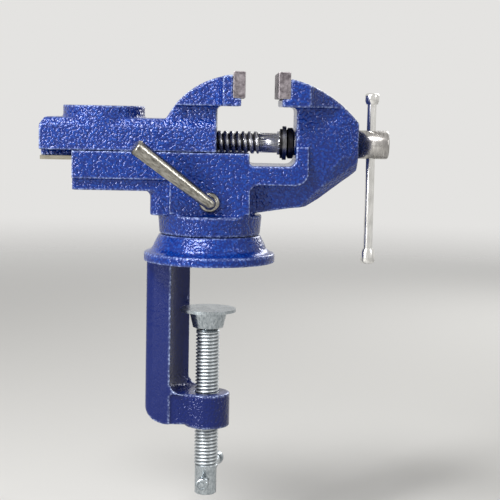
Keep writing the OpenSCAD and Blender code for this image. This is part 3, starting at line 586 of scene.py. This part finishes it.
def keepPart(bm, cutAt, axis, side):
    # Keeps what is on one side of a plane across an axis and closes the cut
    normal = [0, 0, 0]
    normal[axis] = -side
    place = [0, 0, 0]
    place[axis] = cutAt
    cut = bmesh.ops.bisect_plane(bm, geom=bm.verts[:] + bm.edges[:] + bm.faces[:],
                                 plane_co=place, plane_no=normal, clear_outer=True)
    rim = [e for e in cut["geom_cut"] if isinstance(e, bmesh.types.BMEdge)]
    bmesh.ops.holes_fill(bm, edges=rim, sides=0)
    return bm


def joined(parts):
    # Several closed shells as one bmesh; each face keeps its part's number as its material
    whole = bmesh.new()
    for number, part in enumerate(parts):
        for face in part.faces:
            face.material_index = number
        mesh = bpy.data.meshes.new("part")
        part.to_mesh(mesh)
        part.free()
        whole.from_mesh(mesh)
        bpy.data.meshes.remove(mesh)
    return whole


def shadeByAngle(obj):
    # Smooth faces, with edges sharper than 35 degrees kept crisp
    for face in obj.data.polygons:
        face.use_smooth = True
    obj.data.set_sharp_from_angle(angle=math.radians(35))


def screwPiece(name, node, parts, metals):
    # The thread and the plain parts of a screw as one piece, each part in its own metal. The
    # screw's body has the same name as its node.
    bm = joined(parts)
    numbers = [face.material_index for face in bm.faces]
    obj = newPiece(name, bm, node, metals[0])
    for metal in metals[1:]:
        obj.data.materials.append(metal)
    for face, number in zip(obj.data.polygons, numbers):
        face.material_index = number
    shadeByAngle(obj)
    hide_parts(node)


# Lead screw: its thread, and from the CAD its neck, journal and drilled head
leadTurns = cutThread(leadThread)
for vert in leadTurns.verts:
    # Chamfered tip
    widest = leadThread["tipMm"] * mm + vert.co.z
    reach = vert.co.xy.length
    if reach > widest:
        vert.co.xy *= widest / reach
leadTip = (leadThread["fromMm"] * mm, 0, leadThread["axisHeightMm"] * mm)
layAlongBeam = Matrix.Translation(leadTip) @ Matrix.Rotation(math.radians(90), 4, "Y")
bmesh.ops.transform(leadTurns, matrix=layAlongBeam, verts=leadTurns.verts)
neckFrom = (leadThread["toMm"] - leadThread["overlapMm"]) * mm
leadNeck = keepPart(cadCopy("lead_screw"), neckFrom, 0, 1)
leadNeck = keepPart(leadNeck, leadThread["headFromMm"] * mm, 0, -1)
leadHead = keepPart(cadCopy("lead_screw"), leadThread["headFromMm"] * mm, 0, 1)
leadAxis = Vector((0, leadThread["axisHeightMm"] * mm))
for vert in leadNeck.verts:
    # Inside the thread the blank narrows to less than the roots
    if vert.co.x < (leadThread["toMm"] - 0.01) * mm:
        vert.co.yz = leadAxis + (vert.co.yz - leadAxis) * leadThread["neckInThread"]
screwPiece("lead_screw_cut", "lead_screw", [leadTurns, leadNeck, leadHead],
           [leadSteel, neckSteel, headSteel])

# Clamping screw: its thread, and from the CAD its ball neck and drilled end
clampTurns = cutThread(clampThread)
bmesh.ops.translate(clampTurns, vec=(0, 0, clampThread["fromMm"] * mm), verts=clampTurns.verts)
topFrom = (clampThread["toMm"] - clampThread["ballNeckOverlapMm"]) * mm
clampTop = keepPart(cadCopy("clamp_screw"), topFrom, 2, 1)
endFrom = (clampThread["fromMm"] - clampThread["endOverlapMm"]) * mm
clampEnd = keepPart(cadCopy("clamp_screw"), endFrom, 2, -1)
screwPiece("clamp_screw_cut", "clamp_screw", [clampTurns, clampTop, clampEnd],
           [clampSteel, zinc, zinc])
print("threads cut")

# Knobs of both bars: turned, with the bar's end riveted over in a shallow dish
knob = {
    "widthMm": 7.0,
    "neckMm": 1.6,
    "roundMm": 1.4,
    "wallMm": 1.2,
    "dishMm": 0.45,
    "rivetMm": 2.8,
    "rivetDomeMm": 0.1,
    "rivetEdgeMm": 0.2,
    "dishSlopeMm": 0.5,
    "steps": 48,
}
clampBarWay = (0.13226, 0.99122, 0)  # it lies 7.6 degrees off the Y axis
knobs = [
    # node, body, slot, material, way out, height and bore in mm
    ("clamp_knob_front", "clamp_bar", "zinc_plate", zinc, [-c for c in clampBarWay], 5.0, 5.06),
    ("clamp_knob_back", "clamp_bar", "zinc_plate", zinc, clampBarWay, 5.0, 5.06),
    ("handle_knob_top", "handle", "nickel_plate", nickel, (0, 0, 1), 5.5, 4.56),
    ("handle_knob_bottom", "handle", "nickel_plate", nickel, (0, 0, -1), 7.5, 4.56),
]


def turnedKnob(node, body, slot, material, wayOut, highMm, boreMm):
    # A closed profile spun about Z, mouth at 0, then laid along its bar
    rim = knob["widthMm"] / 2
    ease = knob["roundMm"]
    rivet = knob["rivetMm"] / 2
    dished = highMm - knob["dishMm"]
    corner = [(rim - ease + ease * math.cos(math.radians(a)),
               highMm - ease + ease * math.sin(math.radians(a))) for a in range(0, 91, 15)]
    profile = [(0, highMm - knob["wallMm"]), (boreMm / 2, highMm - knob["wallMm"]),
               (boreMm / 2, 0), ((boreMm / 2 + rim) / 2, 0), (rim, knob["neckMm"]), *corner,
               (rivet + knob["dishSlopeMm"], dished), (rivet, dished),
               (rivet - knob["rivetEdgeMm"], highMm - knob["rivetDomeMm"]), (0, highMm)]
    bm = bmesh.new()
    line = [bm.verts.new((r * mm, 0, h * mm)) for r, h in profile]
    edges = [bm.edges.new(pair) for pair in zip(line, line[1:])]
    bmesh.ops.spin(bm, geom=line + edges, cent=(0, 0, 0), axis=(0, 0, 1), dvec=(0, 0, 0),
                   angle=math.tau, steps=knob["steps"], use_merge=True,
                   use_normal_flip=False, use_duplicate=False)
    bmesh.ops.remove_doubles(bm, verts=bm.verts, dist=0.001 * mm)
    bmesh.ops.recalc_face_normals(bm, faces=bm.faces)
    low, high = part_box(node)
    mouth = (low + high) / 2 - Vector(wayOut) * highMm / 2 * mm
    lay = Matrix.Translation(mouth) @ Vector(wayOut).to_track_quat("Z", "Y").to_matrix().to_4x4()
    bmesh.ops.transform(bm, matrix=lay, verts=bm.verts)
    obj = newPiece(node + "_turned", bm, body, material)
    shadeByAngle(obj)
    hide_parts(node)


for row in knobs:
    turnedKnob(*row)
print("knobs turned")

# Pieces whose CAD shape stays
finishes = {
    "clamp_pad": zinc, "clamp_bar": zinc,
    "fixed_jaw_screw_1": blackScrew, "fixed_jaw_screw_2": blackScrew,
    "sliding_jaw_screw_1": blackScrew, "sliding_jaw_screw_2": blackScrew,
    "keeper_plate": keeperSteel, "keeper_screw_1": blackScrew, "keeper_screw_2": blackScrew,
    "keeper_screw_3": blackScrew, "keeper_screw_4": blackScrew, "lead_nut": bronze,
    "thrust_washer": greyWasher, "spring_washer_1": blackSpring,
    "spring_washer_2": blackSpring, "retaining_ring": blackSpring,
    "handle_bar": nickel,
}
for node, material in finishes.items():
    wear(nodes[node], material)
print("finishes on", len(finishes), "CAD nodes")

studio = {
    "floorColour": "#d9d8d5",
    "backColour": "#e4e3e1",
    "floorM": 2.2,
    "floorDropMm": 32.0,  # just below the clamping screw when that is run right down
    "paperGrainMm": 2.5,
    "fadeFromM": 0.35,
    "fadeToM": 2.09,
    "ambient": 0.20,
}
bm = bmesh.new()
bmesh.ops.create_circle(bm, cap_ends=True, segments=96, radius=studio["floorM"])
bmesh.ops.translate(bm, vec=(0, 0, cadBox[0][2] - studio["floorDropMm"] * mm), verts=bm.verts)
floorMesh = bpy.data.meshes.new("floor")
bm.to_mesh(floorMesh)
bm.free()
floor = bpy.data.objects.new("floor", floorMesh)
bpy.context.scene.collection.objects.link(floor)

# Matt paper: pale, without shine, and fading into the backdrop towards its rim
paper, tree, surface, place = newMaterial(
    "palePaper", Base_Color=linear(studio["floorColour"]), Roughness=0.9, Specular_IOR_Level=0.1)
grain = add(tree, "ShaderNodeTexNoise", inputs={
    "Vector": place, "Scale": 1000 / studio["paperGrainMm"], "Detail": 3.0})
soft = add(tree, "ShaderNodeBump", inputs={
    "Height": grain, "Distance": 0.05 * mm, "Strength": 0.3})
plug(tree, surface, Normal=soft)
flatPlace = add(tree, "ShaderNodeMapping", inputs={"Vector": place, "Scale": (1, 1, 0)})
reach = add(tree, "ShaderNodeVectorMath", {"operation": "LENGTH"}, {0: flatPlace})
fade = add(tree, "ShaderNodeMapRange", {"interpolation_type": "SMOOTHSTEP"}, {
    "Value": reach.outputs["Value"], "From Min": studio["fadeFromM"],
    "From Max": studio["fadeToM"]})
clear = add(tree, "ShaderNodeBsdfTransparent")
mixed = add(tree, "ShaderNodeMixShader", inputs={0: fade, 1: surface, 2: clear})
outlet = [n for n in tree.nodes if n.type == "OUTPUT_MATERIAL"][0]
tree.links.new(mixed.outputs[0], outlet.inputs["Surface"])
wear(floor, paper)

world = bpy.data.worlds.new("studio")
bpy.context.scene.world = world
world.use_nodes = True
tree = world.node_tree
tree.nodes.clear()
ray = add(tree, "ShaderNodeLightPath")
seen = add(tree, "ShaderNodeMath", {"operation": "ADD"}, {
    0: ray.outputs["Is Camera Ray"], 1: ray.outputs["Is Glossy Ray"]})
seenToo = add(tree, "ShaderNodeMath", {"operation": "ADD", "use_clamp": True}, {
    0: seen, 1: ray.outputs["Is Transmission Ray"]})
level = add(tree, "ShaderNodeMapRange", inputs={"Value": seenToo, "To Min": studio["ambient"]})
backdrop = add(tree, "ShaderNodeBackground", inputs={
    "Color": linear(studio["backColour"]), "Strength": level})
add(tree, "ShaderNodeOutputWorld", inputs={"Surface": backdrop})

# A broad box high on the left, a tall strip low beside it, a slim one on the right, one behind
softboxes = [
    # name, place, aim, width, height, power
    ("keyBox", (-0.40, -0.58, 0.88), (0, 0, 0.02), 0.66, 0.24, 11.5),
    ("frontStrip", (-0.70, -0.71, 0.28), (0, 0, 0.02), 0.14, 0.52, 6.7),
    ("fillStrip", (0.92, -0.60, 0.42), (0, 0, 0.02), 0.06, 0.45, 2.1),
    ("backStrip", (0.45, 0.85, 0.50), (0, 0, 0.0), 0.30, 0.70, 4.0),
]
for name, place, aim, width, height, power in softboxes:
    lamp = bpy.data.lights.new(name, "AREA")
    lamp.shape = "RECTANGLE"
    lamp.size = width
    lamp.size_y = height
    lamp.energy = power
    lampObject = bpy.data.objects.new(name, lamp)
    bpy.context.scene.collection.objects.link(lampObject)
    lampObject.location = place
    lampObject.rotation_euler = (Vector(place) - Vector(aim)).to_track_quat("Z", "Y").to_euler()

# Camera at the photograph's place: a little above the anvil, its frame turned by a degree
camera = {
    "place": (0.01028, -0.650, 0.0764),
    "yaw": 0.878,
    "pitch": 6.22,
    "roll": 1.163,
    "lensMm": 94.5,
}
lens = bpy.data.cameras.new("camera")
lens.lens = camera["lensMm"]
lens.sensor_width = 36
lens.clip_start = 0.01
lens.clip_end = 50
eye = bpy.data.objects.new("camera", lens)
bpy.context.scene.collection.objects.link(eye)
turn = (Matrix.Rotation(math.radians(-camera["yaw"]), 4, "Z")
        @ Matrix.Rotation(math.radians(90 - camera["pitch"]), 4, "X")
        @ Matrix.Rotation(math.radians(camera["roll"]), 4, "Z"))
eye.matrix_world = Matrix.Translation(camera["place"]) @ turn
bpy.context.scene.camera = eye
bpy.context.scene.view_settings.view_transform = "Standard"
print("studio lit")
